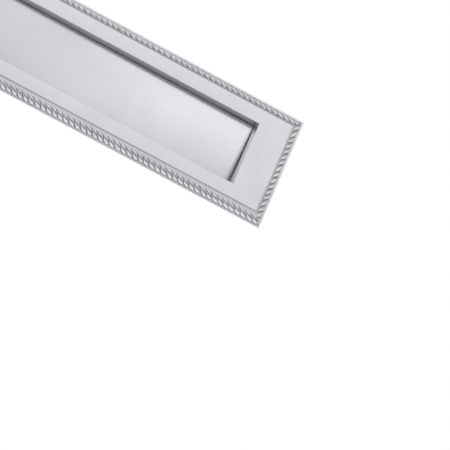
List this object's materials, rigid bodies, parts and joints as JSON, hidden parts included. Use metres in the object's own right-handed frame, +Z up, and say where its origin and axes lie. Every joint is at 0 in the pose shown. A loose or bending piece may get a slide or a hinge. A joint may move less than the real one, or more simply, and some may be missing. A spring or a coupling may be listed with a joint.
{
  "type": "letter plate",
  "caption": "Oblong rope-edged letter plate with a recessed aperture and a sprung flap that opens inwards, with hinge parts and through-door fixings.",
  "frame": {"origin": "middle of the plate's back rim, in the plane that lies on the door", "axes": "+X along the plate to the right as seen from the front, +Z up, +Y into the door, so the front looks along -Y"},
  "size_m": [0.28, 0.0632, 0.08],
  "materials": {
    "plate": "satin chrome plating on a casting",
    "flap": "satin chrome plating",
    "steel": "bright drawn steel",
    "spring": "drawn spring steel",
    "zinc": "zinc plated steel",
    "rubber": "matt black rubber"
  },
  "bodies": {
    "plate": {"front_plate": "plate", "hinge_rod": "steel", "bracket_left": "zinc", "bracket_right": "zinc", "bracket_screw_left_inner": "steel", "bracket_screw_left_outer": "steel", "bracket_screw_right_inner": "steel", "bracket_screw_right_outer": "steel", "rod_clip_left": "steel", "rod_clip_right": "steel", "spring_left": "spring", "spring_right": "spring", "buffer_left": "rubber", "buffer_right": "rubber", "fixing_stud_left": "zinc", "fixing_stud_right": "zinc", "washer_left": "zinc", "washer_right": "zinc", "nut_left": "zinc", "nut_right": "zinc"},
    "flap": {"flap": "flap"}
  },
  "joints": [
    {"name": "flap_hinge", "type": "hinge", "parent": "plate", "child": "flap", "pos_m": [0, 0.0063, 0.027], "axis": [1, 0, 0], "range_deg": [0, 85], "stiffness_Nm_per_rad": 0.04, "springref_deg": -68.75, "deforming": ["spring_left", "spring_right"]}
  ]
}
